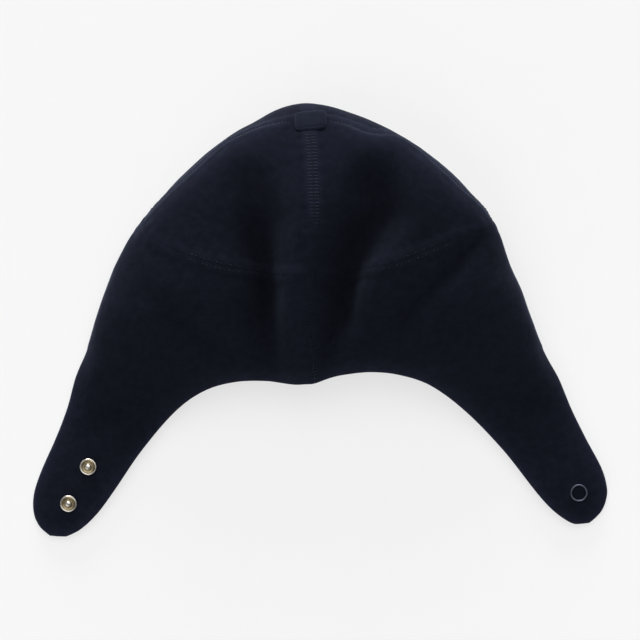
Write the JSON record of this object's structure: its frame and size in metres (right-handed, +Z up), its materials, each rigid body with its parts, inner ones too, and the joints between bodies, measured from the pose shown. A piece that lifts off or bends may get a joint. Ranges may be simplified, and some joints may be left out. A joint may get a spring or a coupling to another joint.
{
  "type": "helmet hat",
  "caption": "Child's fleece helmet hat with domed crown, long nape and two ear flaps that close under the chin with snaps.",
  "frame": {"origin": "on the table, below the middle of the outline of the hat as it lies with its back up", "axes": "+X from the left ear flap to the right ear flap, +Y from the flaps towards the crown, +Z up from the table"},
  "size_m": [0.3299, 0.2488, 0.05],
  "materials": {
    "shell_fleece": "matt navy wind-stop fleece, faint pile",
    "tab_fabric": "matt navy folded fabric",
    "nickel": "warm nickel plate",
    "dark_ring": "blue-grey lacquered metal"
  },
  "bodies": {
    "root": {"crown_back_left": "shell_fleece", "crown_back_right": "shell_fleece", "crown_front_left": "shell_fleece", "crown_front_right": "shell_fleece", "side_left": "shell_fleece", "side_right": "shell_fleece", "top_tab": "tab_fabric", "stud_upper": "nickel", "stud_upper_back": "dark_ring", "stud_lower": "nickel", "stud_lower_back": "dark_ring", "snap_ring": "dark_ring", "snap_socket": "nickel"}
  },
  "joints": []
}
